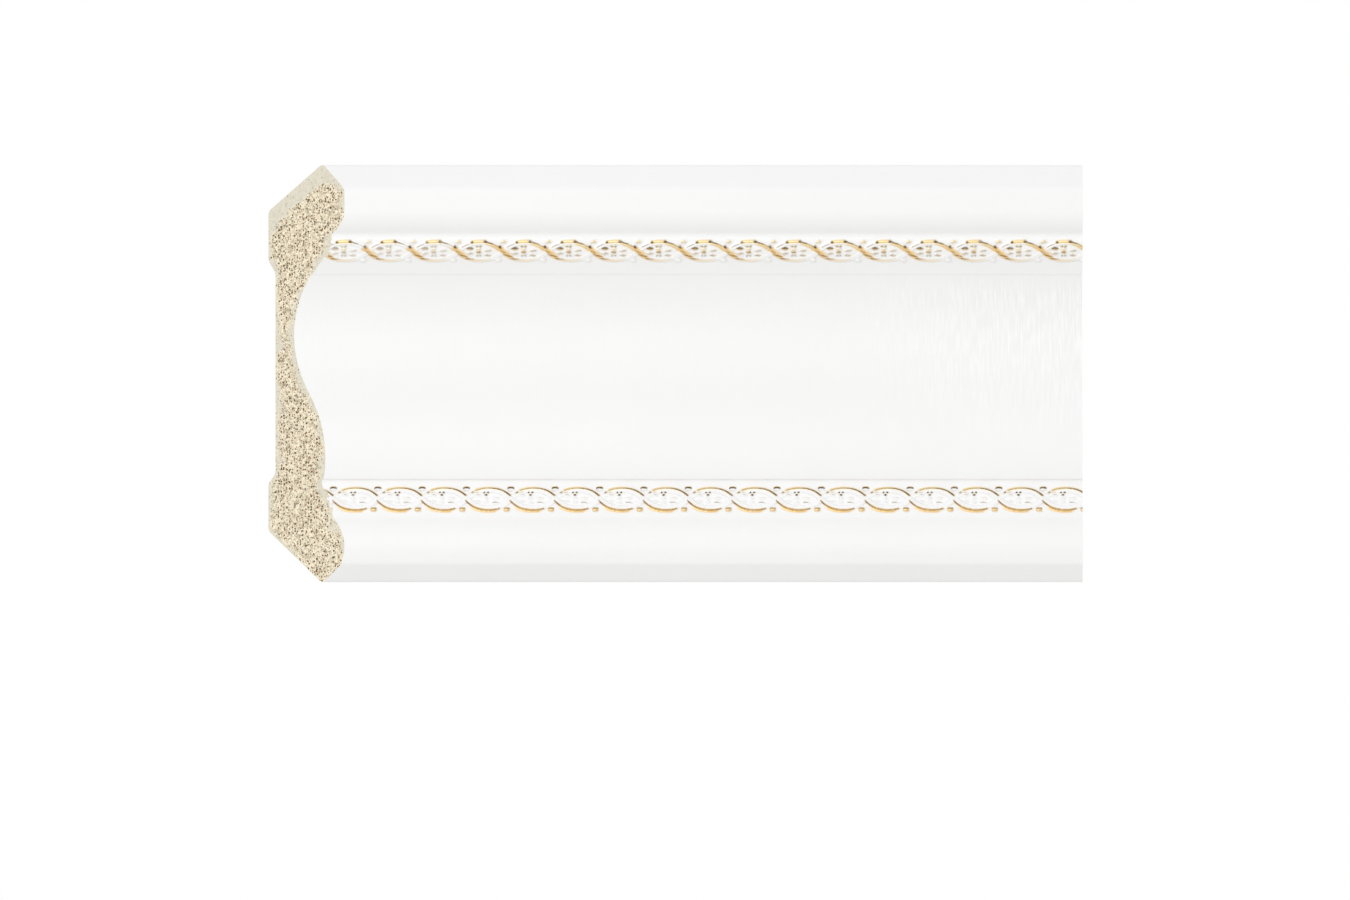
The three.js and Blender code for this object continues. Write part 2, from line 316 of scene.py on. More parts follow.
def cyma():
    """From the lower band over the lip of the swell and up the cove to the upper band."""
    turn = math.asin((COVE_CENTRE_HEIGHT - COVE_FOOT) / COVE_RADIUS)
    head_turn = math.asin((COVE_HEAD - COVE_CENTRE_HEIGHT) / COVE_HEAD_RADIUS)
    cove_centre = (COVE_FRONT + COVE_RADIUS, COVE_CENTRE_HEIGHT)
    foot_depth = cove_centre[0] - COVE_RADIUS * math.cos(turn)
    swell_radius = (SWELL_FRONT - foot_depth) / (1 - math.cos(turn))
    swell_centre = (SWELL_FRONT - swell_radius, COVE_FOOT - swell_radius * math.sin(turn))
    lip_turn = math.asin((swell_centre[1] - SWELL_LIP) / swell_radius)
    swell = arc(swell_centre, swell_radius, -lip_turn, turn)
    cove = arc(cove_centre, COVE_RADIUS, math.pi + turn, math.pi)
    head_centre = (COVE_FRONT + COVE_HEAD_RADIUS, COVE_CENTRE_HEIGHT)
    cove_head = arc(head_centre, COVE_HEAD_RADIUS, math.pi, math.pi - head_turn)
    depth, height = LOWER_BAND["head"]
    run = [
        (depth, height), (depth, height + LOWER_LISTEL), *swell, *cove[1:], *cove_head[1:],
        (cove_head[-1][0] + QUIRK, COVE_HEAD + QUIRK / 2), UPPER_BAND["foot"],
    ]
    return soften(run, FACE_EASE)


def upper_roll():
    """From the upper band over a listel and up the nose, which leans in below its arc, to the tip."""
    depth, height = UPPER_BAND["head"]
    nose = arc((DEPTH - NOSE_RADIUS, NOSE_HEAD), NOSE_RADIUS, -NOSE_LEAN, 0)
    nose_foot = nose[0][1] - (nose[0][0] - depth) / math.tan(NOSE_LEAN)
    shoulder = (DEPTH, SHOULDER_HEIGHT)
    front = [(depth, height), (depth, nose_foot), *nose]
    top = soften([nose[-1], shoulder, beside(HIGH_TIP, shoulder)], SHOULDER_EASE)
    return np.concatenate([soften(front, FACE_EASE), top[1:]])


def back(high_edge, low_edge):
    """From the upper tip down the glue faces, lands and recess to the lower tip."""
    run = [
        high_edge, HIGH_TIP, (0, HIGH_TIP_HEIGHT - HIGH_GLUE_RISE), (0, UPPER_LAND_FOOT),
        (RECESS_DEPTH, RECESS_HEAD), (RECESS_DEPTH, RECESS_FOOT), (0, LOWER_LAND_HEAD),
        (0, LOW_TIP_HEIGHT + LOW_GLUE_RISE), LOW_TIP, low_edge,
    ]
    return soften(run, LAND_EASE)


# Guilloche

def swing(phase):
    """Sideways place of a strand: 0 at a crossing, 1 at the crest, fuller than a plain sine."""
    sine = np.sin(phase)
    return sine * math.sqrt(2) / np.sqrt(1 + sine ** 2)


def above(value, limit, soft):
    """1 above a limit and 0 below it, over a soft step."""
    return np.clip((value - limit) / soft + 0.5, 0, 1)


def below(value, limit, soft):
    """1 below a limit and 0 above it, over a soft step."""
    return np.clip((limit - value) / soft + 0.5, 0, 1)


def window(value, low, high, soft):
    """1 between low and high, falling to 0 over soft on both sides."""
    return above(value, low, soft) * below(value, high, soft)


def scrolls(band, u, v):
    """Every scroll that reaches into the tile: offset from its centre line and place along it.

    The place runs from -1, where a scroll comes out from under its left neighbour, over its crest at
    -0.5 and its crossing at 0, to 1, where it goes in under its right neighbour.
    """
    pitch = band["pitch"]
    places = np.linspace(-1, 1, TRACE_STEPS)
    line = np.stack([places * pitch, -STRAND_SWING * swing(math.pi * places)], axis=1)
    tangent = np.gradient(line, axis=0)
    tangent /= np.hypot(*tangent.T)[:, None]
    for shift in (-1, 0, 1, 2):
        gap = np.stack([u - shift * pitch, v], axis=1)[:, None, :] - line[None]
        near = np.argmin((gap ** 2).sum(axis=2), axis=1)
        gap = gap[np.arange(len(u)), near]
        side = tangent[near, 0] * gap[:, 1] - tangent[near, 1] * gap[:, 0]
        beyond = np.hypot(*gap.T)
        yield np.copysign(beyond, side), places[near]


def dome(du, dv, half_length, half_width, height, turn=0.0, fullness=2.0):
    """Height of a rounded stud and how far out each point lies, 1 at its edge.

    The stud is an ellipse at a fullness of 2 and squarer above it.
    """
    cosine, sine = math.cos(math.radians(turn)), math.sin(math.radians(turn))
    along, aside = du * cosine + dv * sine, dv * cosine - du * sine
    spread = np.abs(along / half_length) ** fullness + np.abs(aside / half_width) ** fullness
    out = spread ** (1 / fullness)
    return height * np.sqrt(np.clip(1 - out ** 2, 0, None)), out


def strokes(offset, t, marks):
    """Thin strokes of painted shade that cross a strand aslant."""
    painted_shade = np.zeros_like(t)
    for start, end, low, high, strength in marks:
        aside = np.abs(offset - np.interp(t, (start, end), (low, high)))
        tone = strength * below(aside, STROKE_HALF, STROKE_SOFT)
        painted_shade = np.maximum(painted_shade, tone * window(t, start, end, STROKE_END_SOFT))
    return painted_shade


def upper_foil(offset, t):
    """Foil on the outer half of the crest, over the whole crossing and thinly along the trough, with spots,
    strokes and an edge line of painted shade and dark reflection on it.

    The last value is how late the foil sets in: towards the left end a stretch of each strand stays white.
    """
    inner, outer = np.interp(t, *UPPER_INNER), np.interp(t, *UPPER_OUTER)
    strength = np.interp(t, *UPPER_STRENGTH)
    gold = window(offset, inner, outer, UPPER_SOFT) * window(t, *UPPER_RUN) * strength
    # Painted shade and dark reflection: spots, a line along the outer edge and strokes
    spots = np.zeros_like(t)
    for spot, aside, reach in UPPER_SHADE_SPOTS:
        mark = np.exp(-((t - spot) / reach) ** 2 - ((offset - aside) / SHADE_SPOT_HALF) ** 2)
        spots = np.maximum(spots, np.clip(SHADE_SPOT_GAIN * mark, 0, 1))
    line = window(offset, outer - UPPER_EDGE_IN, outer + UPPER_EDGE_OUT, UPPER_EDGE_SOFT)
    edge = np.interp(t, *UPPER_EDGE_SHADE) * line * window(t, *UPPER_EDGE_RUN)
    painted_shade = np.maximum.reduce([spots, edge, strokes(offset, t, UPPER_SHADE_STROKES)])
    late = window(t, *UPPER_LATE_RUN) * (1 - np.maximum(spots, edge))
    return np.maximum(gold, painted_shade), painted_shade, np.interp(t, *UPPER_WARM), late


def lower_foil(offset, t):
    """Strands left white on their crests as a painted highlight on the gilding: a brown-gold line on the
    arch, a brown line over thick gold on the sag below it; the brown is painted shade.
    """
    # Foil only along the edges of each strand: the white crest between is a painted highlight
    arch = window(offset, *ARCH_ACROSS) * window(t, *ARCH_RUN)
    shade_across = window(offset, ARCH_SHADE_FROM, np.interp(t, *ARCH_SHADE_TO), ARCH_SHADE_SOFT)
    arch_shade = np.interp(t, *ARCH_SHADE_STRENGTH) * arch * shade_across
    out = ((t - ARCH_SHADE_DOT[0]) / ARCH_SHADE_DOT_REACH[0]) ** 2 + ((offset - ARCH_SHADE_DOT[1]) / ARCH_SHADE_DOT_REACH[1]) ** 2
    dot = np.exp(-out)
    shade_dash = strokes(offset, t, LOWER_SHADE_STROKES)
    sag = window(offset, *SAG_ACROSS) * window(t, *SAG_RUN)
    sag_shade = np.interp(t, *SAG_SHADE_STRENGTH) * sag * window(offset, *SAG_SHADE_ACROSS)
    thick = window(offset, *THICK_ACROSS) * window(t, *THICK_RUN)
    gold = np.maximum.reduce([arch, dot, shade_dash, sag, thick])
    painted_shade = np.maximum.reduce([arch_shade, dot, shade_dash, sag_shade, thick * THICK_SHADE])
    return gold, painted_shade, np.interp(t, *LOWER_WARM), np.zeros_like(t)


def studs(band, u, v):
    """Beads above and below each crossing and the flower in each eye: height, gold, painted shade and warm.
    """
    pitch = band["pitch"]
    upper = band is UPPER_BAND
    for shift in (0, 1):
        dv = v - band["bead_row"]
        height, out = dome(u - shift * pitch, dv, *BEAD_HALF, BEAD_HEIGHT)
        if upper:
            # Painted shade, evenly over the gilded top of each bead
            cap = below(out, *UPPER_CAP_OUT) * above(dv, *UPPER_CAP_UP)
            yield height, cap * UPPER_CAP_GOLD, cap * UPPER_CAP_SHADE, cap * 0
        else:
            # Brown painted shade over the gilded top of the bead, lifted near its top as a painted highlight
            cap = below(out, *LOWER_CAP_OUT) * above(dv, *LOWER_CAP_UP)
            yield height, cap, cap * (1 - LOWER_CAP_LIT * above(dv, *LOWER_CAP_LIT_UP)), cap * 0
    for shift in (0, 1, 2):
        dv = v + band["bead_row"]
        du = u - shift * pitch - band["low_bead"]
        height, out = dome(du, dv, *LOW_BEAD_HALF, BEAD_HEIGHT, fullness=LOW_BEAD_FULLNESS)
        body = below(out, *LOW_BEAD_OUT)
        # Painted shade over each low bead, strongest across its upper part
        shade = np.interp(window(dv, *LOW_BEAD_SHADE), (0, 1), LOW_BEAD_SHADE_RANGE) * band["low_shade"]
        yield height, body * band["low_gold"], body * shade, body * LOW_BEAD_WARM
    du = u - pitch / 2 - FLOWER_SHIFT
    flower, leaves = (UPPER_FLOWER, UPPER_LEAVES) if upper else (LOWER_FLOWER, LOWER_LEAVES)
    for along, up, length, width, turn, height, *paint in flower:
        rise, out = dome(du - along, v - up, length, width, height, turn)
        body = below(out, *FLOWER_OUT)
        yield rise, *(body * share for share in paint)
    for along, up, length, width, turn, height, gold, painted_shade, warm in leaves:
        rise, out = dome(du - along, v - up, length, width, height, turn)
        body = below(out, *LEAF_OUT)
        # Painted shade over each leaf, full on its upper half
        edge = body * above(v - up, *LEAF_EDGE_UP)
        gilded = body if upper else edge
        yield rise, gilded * gold, np.maximum(body * LEAF_BODY_SHADE, edge) * painted_shade, body * warm


def guilloche(band, u, v):
    """Height, gold, painted shade, warm and late of one pitch of a band, from a crossing at 0 to the next.
    """
    paint = upper_foil if band is UPPER_BAND else lower_foil
    top = np.zeros_like(u)
    colours = np.zeros((4, len(u)))
    for offset, t in scrolls(band, u, v):
        crest = STRAND_HEIGHT + STRAND_LIFT * np.cos(math.pi * t)
        across = np.sqrt(np.clip(1 - np.abs(offset / STRAND_HALF) ** STRAND_FULLNESS, 0, None))
        height = crest * across * (1 - REED_GROOVE * np.exp(-(offset / REED_GROOVE_HALF) ** 2))
        height[np.abs(offset) > STRAND_HALF] = 0
        over = height > top
        flank = (np.abs(offset) < FOIL_REACH) & (top < FLANK_HEIGHT)
        foil = np.array(paint(offset, t))
        colours = np.where(over, foil, np.where(flank, np.maximum(colours, foil), colours))
        top = np.maximum(top, height)
    for height, *foil in studs(band, u, v):
        late = np.full_like(u, band["late"])
        colours = np.where(height > top, np.array([*foil, late]), colours)
        top = np.maximum(top, height)
    return top, *colours


def add(tree, kind, sockets=None, **settings):
    """Adds a node, with its settings and with a value or a link on each socket that is named."""
    node = tree.nodes.new(kind)
    for name, value in settings.items():
        setattr(node, name, value)
    for socket, value in (sockets or {}).items():
        if isinstance(value, bpy.types.NodeSocket):
            tree.links.new(value, node.inputs[socket])
        else:
            node.inputs[socket].default_value = value
    return node


def band_tile(name, band):
    """One pitch of a band as a grid of faces, in its place on the slope, with its LOOKS as attributes."""
    foot, head = np.array(band["foot"]), np.array(band["head"])
    slope = head - foot
    width = np.hypot(*slope)
    out = np.array([slope[1], -slope[0]]) / width
    columns, rows = TILE_COLUMNS + 1, band["rows"] + 1
    u = np.tile(np.linspace(0, band["pitch"], columns), rows)
    share = np.repeat(np.linspace(0, 1, rows), columns)
    centre = (band["centre"] - foot[1]) / slope[1]
    height, gold, painted_shade, warm, late = guilloche(band, u, (share - centre) * width)
    height[(share == 0) | (share == 1)] = 0
    height += band["bulge"] * 4 * share * (1 - share)
    # Painted light: the ground turns whiter from a share of its width upwards
    painted_light = band["painted_light"] * above(share, band["painted_light_above"], PAINTED_LIGHT_SOFT)
    section = foot + share[:, None] * slope + height[:, None] * out
    spots = [place(along, *spot) for along, spot in zip(u, section)]
    first = [row * columns + column for row in range(rows - 1) for column in range(columns - 1)]
    faces = [(i, i + 1, i + 1 + columns, i + columns) for i in first]
    tile = bpy.data.meshes.new(name)
    tile.from_pydata(spots, [], faces)
    for label, values in zip(LOOKS, (gold, painted_shade, warm, late, painted_light)):
        tile.attributes.new(label, "FLOAT", "POINT").data.foreach_set("value", values.astype(np.float32))
    return bpy.data.objects.new(name, tile)


def repeat_tree():
    """Sets one tile after another along X and welds them into one sheet."""
    tree = bpy.data.node_groups.new("repeat_along_run", "GeometryNodeTree")
    for label, kind in (
        ("Tile", "NodeSocketObject"), ("Start", "NodeSocketFloat"), ("Pitch", "NodeSocketFloat"),
        ("Count", "NodeSocketInt"), ("Material", "NodeSocketMaterial"),
    ):
        tree.interface.new_socket(label, in_out="INPUT", socket_type=kind)
    tree.interface.new_socket("Band", in_out="OUTPUT", socket_type="NodeSocketGeometry")
    given = add(tree, "NodeGroupInput").outputs
    tile = add(tree, "GeometryNodeObjectInfo", {"Object": given["Tile"]})
    start = add(tree, "ShaderNodeCombineXYZ", {"X": given["Start"]})
    step = add(tree, "ShaderNodeCombineXYZ", {"X": given["Pitch"]})
    line = add(tree, "GeometryNodeMeshLine", {
        "Count": given["Count"], "Start Location": start.outputs[0], "Offset": step.outputs[0],
    })
    tiles = add(tree, "GeometryNodeInstanceOnPoints", {
        "Points": line.outputs[0], "Instance": tile.outputs["Geometry"],
    })
    sheet = add(tree, "GeometryNodeRealizeInstances", {"Geometry": tiles.outputs[0]})
    welded = add(tree, "GeometryNodeMergeByDistance", {"Geometry": sheet.outputs[0], "Distance": WELD * MM})
    coated = add(tree, "GeometryNodeSetMaterial", {
        "Geometry": welded.outputs[0], "Material": given["Material"],
    })
    add(tree, "NodeGroupOutput", {"Band": coated.outputs[0]})
    return tree


def band_sheet(name, band, tree, material):
    """The tiles of a band all along the run, as a plain mesh."""
    tile = band_tile(name + "_tile", band)
    first = math.floor((-LENGTH / 2 - band["crossing"]) / band["pitch"])
    last = math.ceil((LENGTH / 2 - band["crossing"]) / band["pitch"])
    host = bpy.data.objects.new(name, bpy.data.meshes.new(name))
    bpy.context.scene.collection.objects.link(tile)
    bpy.context.scene.collection.objects.link(host)
    modifier = host.modifiers.new("repeat", "NODES")
    modifier.node_group = tree
    wanted = {
        "Tile": tile, "Start": (band["crossing"] + first * band["pitch"]) * MM, "Pitch": band["pitch"] * MM,
        "Count": last - first, "Material": material,
    }
    for item in tree.interface.items_tree:
        if item.in_out == "INPUT":
            modifier[item.identifier] = wanted[item.name]
    graph = bpy.context.evaluated_depsgraph_get()
    sheet = bpy.data.meshes.new_from_object(
        host.evaluated_get(graph), preserve_all_data_layers=True, depsgraph=graph
    )
    bpy.data.objects.remove(host)
    bpy.data.objects.remove(tile)
    return sheet


# The moulding as one closed mesh

# Ends, and the upper glue face with its distance from the origin
BEVEL_NORMAL = Vector((-math.cos(END_BEVEL), -math.sin(END_BEVEL), 0))
SQUARE_NORMAL = Vector((1, 0, 0))
CEILING_NORMAL = Vector((0, math.sin(math.pi / 4 - GLUE_LEAN), math.cos(math.pi / 4 - GLUE_LEAN)))
CEILING_RISE = place(0, *HIGH_TIP).dot(CEILING_NORMAL)
# Material slots
COAT, FOAM, SKIN = range(3)


def trim(body):
    """Cuts whatever stands past the two end planes."""
    for corner, normal in (
        (place(left_end(0), 0, 0), BEVEL_NORMAL), (place(LENGTH / 2, 0, 0), SQUARE_NORMAL),
    ):
        parts = list(body.verts) + list(body.edges) + list(body.faces)
        bmesh.ops.bisect_plane(
            body, geom=parts, dist=TRIM_SNAP * MM, plane_co=corner, plane_no=normal, clear_outer=True
        )


def border(body, edge):
    """Vertices of a band along its foot or its head, from left to right."""
    spot = place(0, *edge)
    near = BORDER_SNAP * MM
    row = [v for v in body.verts if abs(v.co.y - spot.y) < near and abs(v.co.z - spot.z) < near]
    return sorted(row, key=lambda v: v.co.x)


def sweep(body, run, slot, first=None, last=None):
    """Faces along a part of the section; first and last are rows of vertices that are there already."""
    made = run[1 if first else 0:len(run) - 1 if last else len(run)]
    rows = [
        [body.verts.new(place(end, depth, height)) for end in (left_end(depth), LENGTH / 2)]
        for depth, height in made
    ]
    rows = ([first] if first else []) + rows + ([last] if last else [])
    for low, high in zip(rows, rows[1:]):
        face = body.faces.new(low + high[::-1])
        face.material_index = slot
    return rows[0], rows[-1]


def outline(body, on_left):
    """The open edge at one end of the run, as a ring of vertices."""
    edges = [
        e for e in body.edges if e.is_boundary and (e.verts[0].co.x + e.verts[1].co.x < 0) == on_left
    ]
    links = {}
    for edge in edges:
        for vert in edge.verts:
            links.setdefault(vert, []).append(edge.other_vert(vert))
    ring = [edges[0].verts[0], edges[0].verts[1]]
    while True:
        following = next(v for v in links[ring[-1]] if v is not ring[-2])
        if following is ring[0]:
            return ring
        ring.append(following)


def distance_inside(spots, ring):
    """Distance of each spot from a closed outline, negative outside it."""
    nearest = np.full(len(spots), np.inf)
    inside = np.zeros(len(spots), bool)
    for a, b in zip(ring, np.roll(ring, -1, axis=0)):
        side = b - a
        along = np.clip(((spots - a) @ side) / max(side @ side, 1e-12), 0, 1)
        nearest = np.minimum(nearest, np.hypot(*(spots - a - along[:, None] * side).T))
        if side[1]:
            crosses = (a[1] > spots[:, 1]) != (b[1] > spots[:, 1])
            inside ^= crosses & (spots[:, 0] < a[0] + (spots[:, 1] - a[1]) * side[0] / side[1])
    return np.where(inside, nearest, -nearest)


def close_end(body, on_left, chance):
    """A sawn foam face over one end: small pits scattered inside a denser rim."""
    ring = outline(body, on_left)
    normal = BEVEL_NORMAL if on_left else SQUARE_NORMAL
    across = 1 / math.cos(END_BEVEL) if on_left else 1
    edge = np.array([
        ((TIP_DEPTH / 2 - v.co.y / MM) * across, v.co.z / MM + ORIGIN_HEIGHT) for v in ring
    ])
    low, high = edge.min(axis=0), edge.max(axis=0)
    step = FOAM_GRAIN * math.sqrt(3) / 2
    columns = np.arange(low[0], high[0], FOAM_GRAIN)
    rows = np.arange(low[1], high[1], step)
    spots = np.array([(x + FOAM_GRAIN / 2 * (k % 2), y) for k, y in enumerate(rows) for x in columns])
    spots += chance.uniform(-FOAM_JITTER, FOAM_JITTER, spots.shape) * FOAM_GRAIN
    deep = distance_inside(spots, edge)
    clear = deep > FOAM_GRAIN * FOAM_CLEAR
    spots, deep = spots[clear], deep[clear]
    pores = np.where(chance.random(len(spots)) < PORE_SHARE, chance.uniform(*PORE_SIZE, len(spots)), 0)
    pores *= np.maximum(above(deep, RIM, RIM_SOFT), RIM_PORES)
    rim, pore = body.verts.layers.float["rim"], body.verts.layers.float["pore"]
    count = len(ring)
    corners = [Vector(spot) for spot in (*edge, *spots)]
    found, _, faces, source, _, _ = delaunay_2d_cdt(corners, [], [list(range(count))], 1, 1e-5)
    verts = []
    for spot, ids in zip(found, source):
        if ids and min(ids) < count:
            verts.append(ring[min(ids)])
            continue
        depth, height = spot[0] / across, spot[1]
        along = left_end(depth) if on_left else LENGTH / 2
        pit = pores[ids[0] - count]
        sunk = np.interp(pit, (0, *PORE_SIZE), (0, *PORE_DEPTH))
        vert = body.verts.new(place(along, depth, height) - normal * float(sunk * MM))
        vert[rim], vert[pore] = float(deep[ids[0] - count]), float(pit)
        verts.append(vert)
    for face in faces:
        made = body.faces.new([verts[i] for i in (face if on_left else face[::-1])])
        made.material_index = FOAM


def moulding_mesh(materials):
    """The bands, the plain runs between them, the back and the two sawn ends, joined into one mesh."""
    tree = repeat_tree()
    body = bmesh.new()
    for name, band in (("lower_band", LOWER_BAND), ("upper_band", UPPER_BAND)):
        sheet = band_sheet(name, band, tree, materials[COAT])
        body.from_mesh(sheet)
        bpy.data.meshes.remove(sheet)
    trim(body)
    embossed = set(body.faces)
    for face in embossed:
        face.material_index = COAT
    for label in ("rim", "pore"):
        body.verts.layers.float.new(label)
    low_foot, low_head, high_foot, high_head = (
        border(body, band[side]) for band in (LOWER_BAND, UPPER_BAND) for side in ("foot", "head")
    )
    low_run, high_run = lower_roll(), upper_roll()
    low_tip, _ = sweep(body, low_run, COAT, last=low_foot)
    sweep(body, cyma(), COAT, first=low_head, last=high_foot)
    _, edge = sweep(body, high_run, COAT, first=high_head)
    rear = back(high_run[-1], low_run[0])
    high, low = (np.argmin(np.hypot(*(rear - tip).T)) for tip in (HIGH_TIP, LOW_TIP))
    _, edge = sweep(body, rear[:high + 1], COAT, first=edge)
    _, edge = sweep(body, rear[high:low + 1], SKIN, first=edge)
    sweep(body, rear[low:], COAT, first=edge, last=low_tip)
    chance = np.random.default_rng(FOAM_SEED)
    close_end(body, True, chance)
    close_end(body, False, chance)
    body.normal_update()
    for face in body.faces:
        face.smooth = True
    for edge in body.edges:
        is_relief = all(face in embossed for face in edge.link_faces)
        is_foam = all(face.material_index == FOAM for face in edge.link_faces)
        edge.smooth = is_relief or is_foam or edge.calc_face_angle(math.pi) < CREASE_ANGLE
    mesh = bpy.data.meshes.new("crown_moulding")
    body.to_mesh(mesh)
    body.free()
    for material in materials:
        mesh.materials.append(material)
    return mesh


# Materials

# Sockets of a Mix node: how much, the two colours or numbers, and the result
SHARE = 0
NUMBERS = (2, 3)
COLOUR_A, COLOUR_B = 6, 7
MIXED = 2

# The coat, in millimetres along the run and up from the origin: where the brush strokes grow from faint
# to full, the hollow that holds them, and where the foil that sets in late begins
STROKES_GROW = (60, 115)
STROKES_FAINT = 0.1
HOLLOW_FOOT = (40, 80)
HOLLOW_HEAD = (102, 95)
FOIL_SETS_IN = (-86, -68)

# The foam: where the rim gives way to the open core, how far that wanders, how much narrower the rim is
# at the lower end and how much broader under the upper glue face, all in millimetres; then both sizes of
# pore as cell size, share that stays closed, radius in cells and how rare they are in the rim
RIM_END = (0.6, 3.6)
RIM_WANDER = 11
RIM_WANDER_FROM = -5.2
LOWER_END = (10, -9)
LOWER_END_NARROWER = 2.5
UNDER_CEILING_FACE = (8, 3)
UNDER_CEILING_BROADER = 5.5
PORES = ((1.0, 0.34, 0.44, 0.65), (0.66, 0.42, 0.42, 0.4))

# Pattern sizes, in millimetres
BRUSH_WIDTH = 0.65
COAT_CLOUD = 35
COAT_GRAIN = 1.2
FOIL_FLECK = 0.9
RIM_DRIFT = 7
FOAM_SPECKLE = 0.6
DIE_LINE = 1.5
SKIN_CLOUD = 45


def linear(code):
    """sRGB hex to a linear colour with alpha."""
    channels = [int(code[i:i + 2], 16) / 255 for i in (1, 3, 5)]
    return (*[c / 12.92 if c <= 0.04045 else ((c + 0.055) / 1.055) ** 2.4 for c in channels], 1)


def new_material(name):
    material = bpy.data.materials.new(name)
    material.use_nodes = True
    tree = material.node_tree
    return material, tree, tree.nodes["Principled BSDF"]


def pearl_coat_with_gold_foil():
    # A satin white with a soft sheen that keeps the long mouldings pale and even; the foil catches
    # the light warmly on the strands and turns brown where shade and dark reflections are painted on it.
    # The grounds of the bands are painted whiter towards their tops as painted light.
    material, tree, surface = new_material("pearl_coat_with_gold_foil")
    where = add(tree, "ShaderNodeTexCoord").outputs["Object"]
    axes = add(tree, "ShaderNodeSeparateXYZ", {"Vector": where}).outputs
    gold, painted_shade, warm, late, painted_light = (
        add(tree, "ShaderNodeAttribute", attribute_name=label).outputs["Fac"] for label in LOOKS
    )
    # Faint upright brush strokes, under a millimetre wide and several long, paler and greyer by turns, in
    # the hollow and nearly all of them at the right
    stretched = add(tree, "ShaderNodeMapping", {"Vector": where, "Scale": (1, 0.05, 0.08)})
    lines = add(tree, "ShaderNodeTexNoise", {
        "Vector": stretched.outputs[0], "Scale": 1 / (BRUSH_WIDTH * MM), "Detail": 1,
    })
    right = add(tree, "ShaderNodeMapRange", {
        "Value": axes["X"], "From Min": STROKES_GROW[0] * MM, "From Max": STROKES_GROW[1] * MM,
        "To Min": STROKES_FAINT, "To Max": 1,
    })
    foot, head = (
        add(tree, "ShaderNodeMapRange", {
            "Value": axes["Z"], "From Min": start * MM, "From Max": end * MM,
        }) for start, end in (HOLLOW_FOOT, HOLLOW_HEAD)
    )
    hollow = add(tree, "ShaderNodeMath", {0: foot.outputs[0], 1: head.outputs[0]}, operation="MULTIPLY")
    zone = add(tree, "ShaderNodeMath", {0: hollow.outputs[0], 1: right.outputs[0]}, operation="MULTIPLY")
    ridge = add(tree, "ShaderNodeMapRange", {"Value": lines.outputs[0], "From Min": 0.4, "From Max": 0.72})
    brushed = add(tree, "ShaderNodeMath", {0: ridge.outputs[0], 1: zone.outputs[0]}, operation="MULTIPLY")
    cloud = add(tree, "ShaderNodeTexNoise", {"Vector": where, "Scale": 1 / (COAT_CLOUD * MM), "Detail": 3})
    white = add(tree, "ShaderNodeMix", {
        SHARE: cloud.outputs[0], COLOUR_A: linear("#f3f3f3"), COLOUR_B: linear("#f6f6f6"),
    }, data_type="RGBA")
    streaks = add(tree, "ShaderNodeMix", {
        SHARE: ridge.outputs[0], COLOUR_A: linear("#f2f2f2"), COLOUR_B: linear("#fbfbfb"),
    }, data_type="RGBA")
    painted = add(tree, "ShaderNodeMix", {
        SHARE: zone.outputs[0], COLOUR_A: white.outputs[MIXED], COLOUR_B: streaks.outputs[MIXED],
    }, data_type="RGBA")
    # Painted light: the grounds of the bands are painted whiter towards their tops
    coat = add(tree, "ShaderNodeMix", {
        SHARE: painted_light, COLOUR_A: painted.outputs[MIXED], COLOUR_B: linear("#fbfbfb"),
    }, data_type="RGBA")
    # Foil: rubbed a little thin in flecks, brighter and more orange in places
    fleck = add(tree, "ShaderNodeTexNoise", {"Vector": where, "Scale": 1 / (FOIL_FLECK * MM), "Detail": 2})
    worn = add(tree, "ShaderNodeMapRange", {
        "Value": fleck.outputs[0], "From Min": 0.3, "From Max": 0.5, "To Min": 0.7, "To Max": 1,
    })
    begun = add(tree, "ShaderNodeMapRange", {
        "Value": axes["X"], "From Min": FOIL_SETS_IN[0] * MM, "From Max": FOIL_SETS_IN[1] * MM,
    })
    kept = add(tree, "ShaderNodeMix", {SHARE: late, NUMBERS[0]: 1, NUMBERS[1]: begun.outputs[0]})
    laid = add(tree, "ShaderNodeMath", {0: gold, 1: kept.outputs[0]}, operation="MULTIPLY")
    foil = add(tree, "ShaderNodeMath", {0: laid.outputs[0], 1: worn.outputs[0]}, operation="MULTIPLY")
    bright = add(tree, "ShaderNodeMix", {
        SHARE: warm, COLOUR_A: linear("#ffe5a8"), COLOUR_B: linear("#fbcd86"),
    }, data_type="RGBA")
    # Painted shade and dark reflection on the foil, in brown
    shaded_foil = add(tree, "ShaderNodeMix", {
        SHARE: painted_shade, COLOUR_A: bright.outputs[MIXED], COLOUR_B: linear("#4a2e0a"),
    }, data_type="RGBA")
    colour = add(tree, "ShaderNodeMix", {
        SHARE: foil.outputs[0], COLOUR_A: coat.outputs[MIXED], COLOUR_B: shaded_foil.outputs[MIXED],
    }, data_type="RGBA")
    metal = add(tree, "ShaderNodeMath", {0: foil.outputs[0], 1: 0.9}, operation="MULTIPLY")
    rough = add(tree, "ShaderNodeMapRange", {"Value": foil.outputs[0], "To Min": 0.42, "To Max": 0.3})
    skin = add(tree, "ShaderNodeTexNoise", {"Vector": where, "Scale": 1 / (COAT_GRAIN * MM), "Detail": 2})
    depth = add(tree, "ShaderNodeMath", {0: skin.outputs[0], 1: brushed.outputs[0]}, operation="ADD")
    bump = add(tree, "ShaderNodeBump", {"Height": depth.outputs[0], "Strength": 0.12, "Distance": 0.1 * MM})
    tree.links.new(colour.outputs[MIXED], surface.inputs["Base Color"])
    tree.links.new(metal.outputs[0], surface.inputs["Metallic"])
    tree.links.new(rough.outputs[0], surface.inputs["Roughness"])
    tree.links.new(bump.outputs[0], surface.inputs["Normal"])
    surface.inputs["IOR"].default_value = 1.49
    surface.inputs["Coat Weight"].default_value = 0.12
    surface.inputs["Coat Roughness"].default_value = 0.3
    return material


